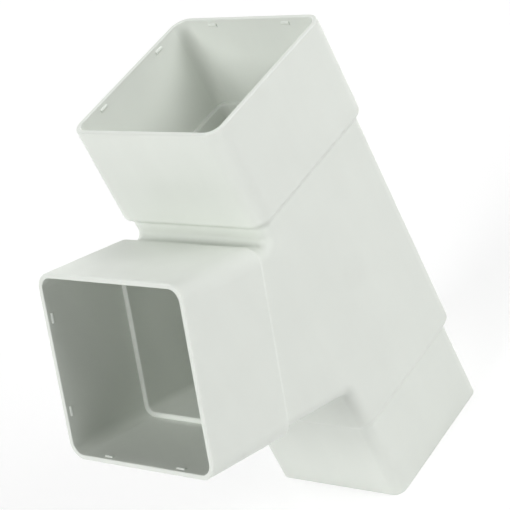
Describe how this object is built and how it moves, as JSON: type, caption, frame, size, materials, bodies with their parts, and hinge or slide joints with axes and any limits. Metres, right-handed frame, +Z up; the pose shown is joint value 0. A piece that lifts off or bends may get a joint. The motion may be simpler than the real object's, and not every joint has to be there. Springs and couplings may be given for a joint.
{
  "type": "downpipe branch",
  "caption": "Moulded branch fitting for square rainwater downpipe: a straight run with a socket above and a spigot below, and a side socket that rises at an angle.",
  "frame": {"origin": "centre of the spigot's end face, on the run's axis", "axes": "+Z up the run towards the top socket, -X towards the side that the branch leaves from; the fitting is the same on both sides of Y = 0"},
  "size_m": [0.1388, 0.07, 0.1755],
  "materials": {
    "upvc": "satin"
  },
  "bodies": {
    "root": {"downpipe_branch": "upvc"}
  },
  "joints": []
}
